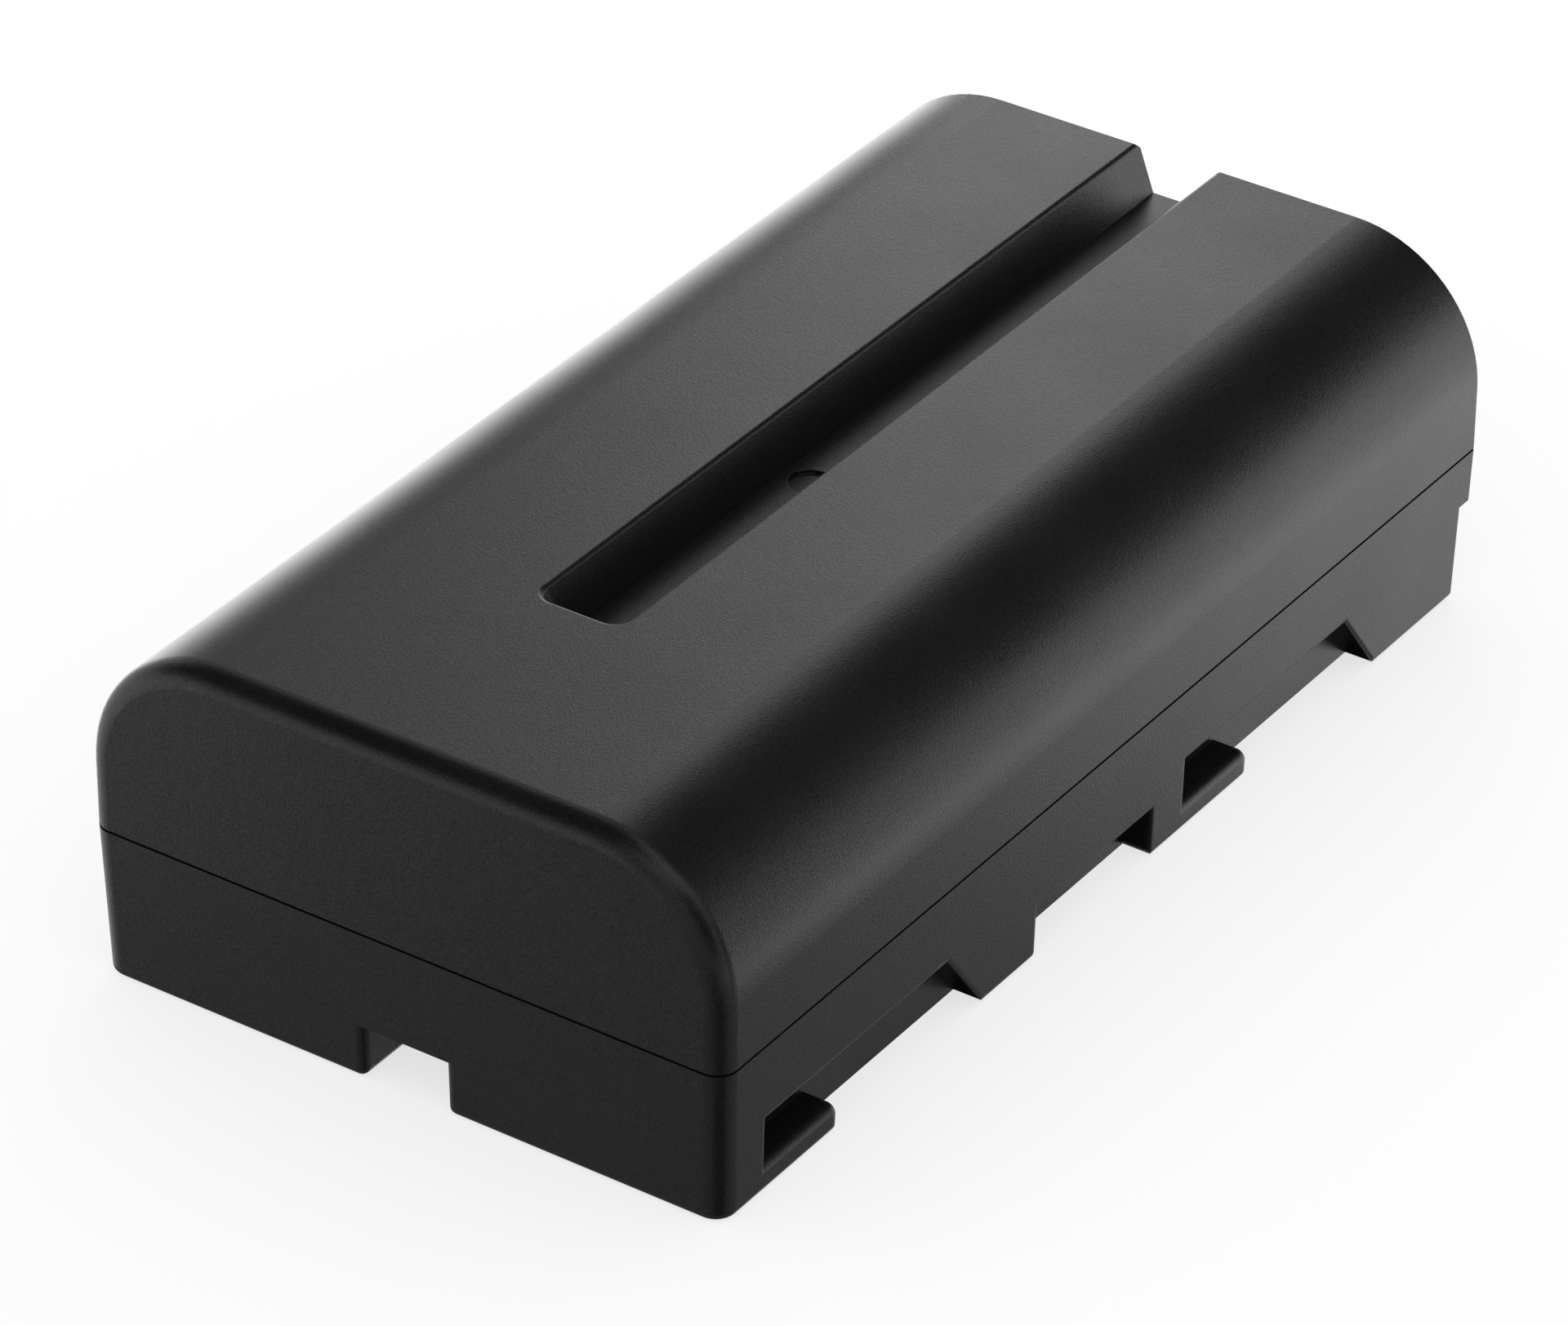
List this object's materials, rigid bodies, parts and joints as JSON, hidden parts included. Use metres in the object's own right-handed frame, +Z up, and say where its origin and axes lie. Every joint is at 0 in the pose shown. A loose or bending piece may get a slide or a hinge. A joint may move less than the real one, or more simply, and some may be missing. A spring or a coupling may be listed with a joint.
{
  "type": "camera battery",
  "caption": "Flat black slide-on battery pack with a rounded top, a long open guide groove, hooked side slots, a latch notch and recessed contacts.",
  "frame": {"origin": "middle of the pack's overall box, on the flat sliding face that it rests on", "axes": "+Z up to the rounded side, +Y along the pack to the contact end, +X across the pack"},
  "size_m": [0.0384, 0.0708, 0.0206],
  "materials": {
    "housing": "fine-grained satin black moulding",
    "block_plastic": "plain black moulding",
    "contact_metal": "gold-plated, bright",
    "nickel": "bare nickel strip",
    "can_steel": "nickel-plated deep-drawn steel",
    "sleeve_film": "shrunk film, plain",
    "gasket_plastic": "plain pale plastic",
    "washer_paper": "plain insulating paper",
    "foam": "soft closed-cell foam",
    "card_sheet": "plain insulating sheet",
    "board_laminate": "glass laminate with green varnish",
    "chip_resin": "moulded resin",
    "chip_ceramic": "sintered ceramic"
  },
  "bodies": {
    "root": {"upper_shell": "housing", "lower_shell": "housing", "left_cell_can": "can_steel", "left_cell_cap": "can_steel", "left_cell_gasket": "gasket_plastic", "left_cell_washer": "washer_paper", "left_cell_sleeve": "sleeve_film", "right_cell_can": "can_steel", "right_cell_cap": "can_steel", "right_cell_gasket": "gasket_plastic", "right_cell_washer": "washer_paper", "right_cell_sleeve": "sleeve_film", "series_strip": "nickel", "positive_strip": "nickel", "negative_strip": "nickel", "centre_tap_strip": "nickel", "end_card": "card_sheet", "near_pad": "foam", "circuit_board": "board_laminate", "protection_chip": "chip_resin", "mosfet_1": "chip_resin", "mosfet_2": "chip_resin", "sense_resistor": "chip_resin", "thermal_fuse": "chip_resin", "thermistor": "chip_ceramic", "capacitor_1": "chip_ceramic", "capacitor_2": "chip_ceramic", "positive_contact": "contact_metal", "negative_contact": "contact_metal", "data_contact": "contact_metal", "terminal_block": "block_plastic"}
  },
  "joints": []
}
